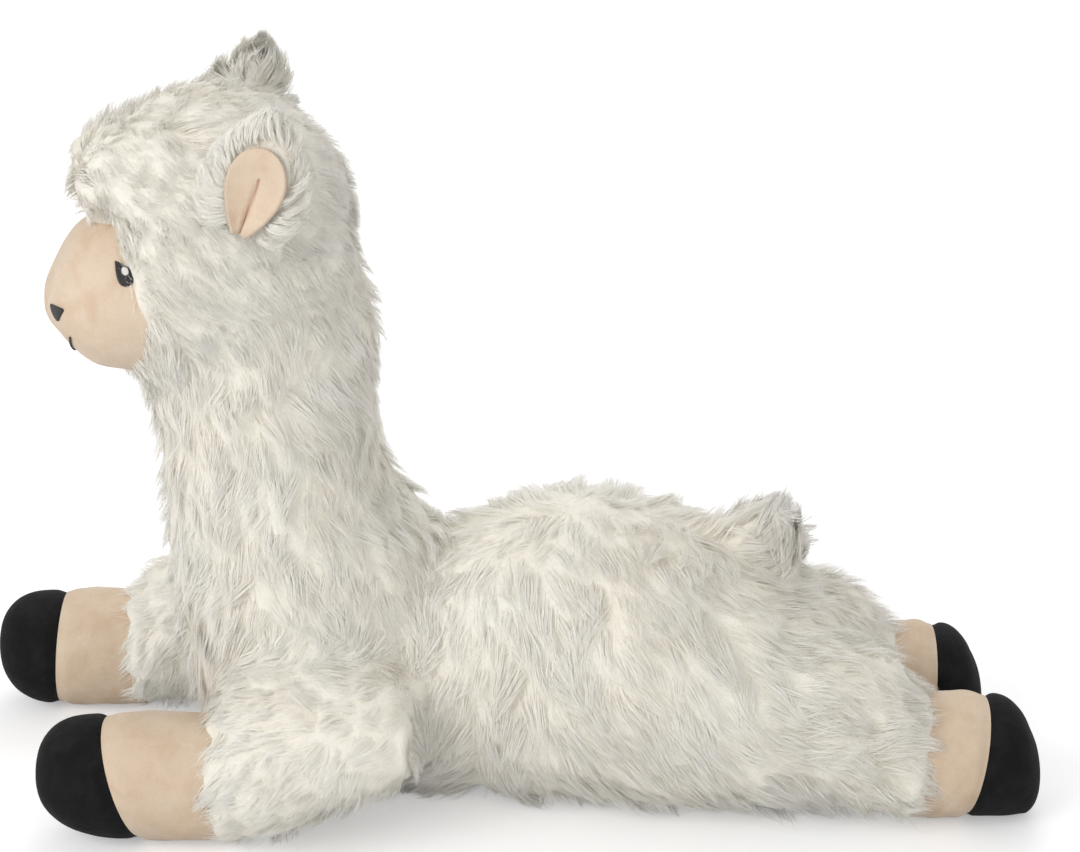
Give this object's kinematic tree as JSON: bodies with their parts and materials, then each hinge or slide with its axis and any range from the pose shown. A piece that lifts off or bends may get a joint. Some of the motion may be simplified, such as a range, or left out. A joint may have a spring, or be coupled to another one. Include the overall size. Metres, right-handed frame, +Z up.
{
  "type": "plush llama",
  "caption": "Long-pile plush llama that lies on its belly with neck upright and legs stretched out, with smooth face, leg cuffs and dark hooves.",
  "frame": {"origin": "on the floor below the middle of the toy", "axes": "+Z up, -Y towards the nose, +X towards the llama's own left side"},
  "size_m": [0.2389, 0.5481, 0.3725],
  "materials": {
    "long_pile_coat": "long soft ivory pile",
    "short_pile_peach": "short velvety peach pile",
    "short_pile_black": "short velvety black pile",
    "black_thread": "satin stitch in black thread",
    "white_thread": "satin stitch in white thread",
    "fibre_filling": "loose white fibre"
  },
  "bodies": {
    "root": {"torso_coat": "long_pile_coat", "torso_filling": "fibre_filling", "neck_coat": "long_pile_coat", "neck_filling": "fibre_filling", "head_coat": "long_pile_coat", "head_filling": "fibre_filling", "face_panel": "short_pile_peach", "front_left_hoof": "short_pile_black", "front_left_cuff": "short_pile_peach", "front_left_coat": "long_pile_coat", "front_left_filling": "fibre_filling", "front_right_hoof": "short_pile_black", "front_right_cuff": "short_pile_peach", "front_right_coat": "long_pile_coat", "front_right_filling": "fibre_filling", "hind_left_hoof": "short_pile_black", "hind_left_cuff": "short_pile_peach", "hind_left_coat": "long_pile_coat", "hind_left_filling": "fibre_filling", "hind_right_hoof": "short_pile_black", "hind_right_cuff": "short_pile_peach", "hind_right_coat": "long_pile_coat", "hind_right_filling": "fibre_filling", "tail": "long_pile_coat", "left_ear_lining": "short_pile_peach", "left_ear_back": "long_pile_coat", "right_ear_lining": "short_pile_peach", "right_ear_back": "long_pile_coat", "left_eye": "black_thread", "left_eye_glint": "white_thread", "right_eye": "black_thread", "right_eye_glint": "white_thread", "left_nostril": "black_thread", "right_nostril": "black_thread", "mouth_stitching": "black_thread"}
  },
  "joints": []
}
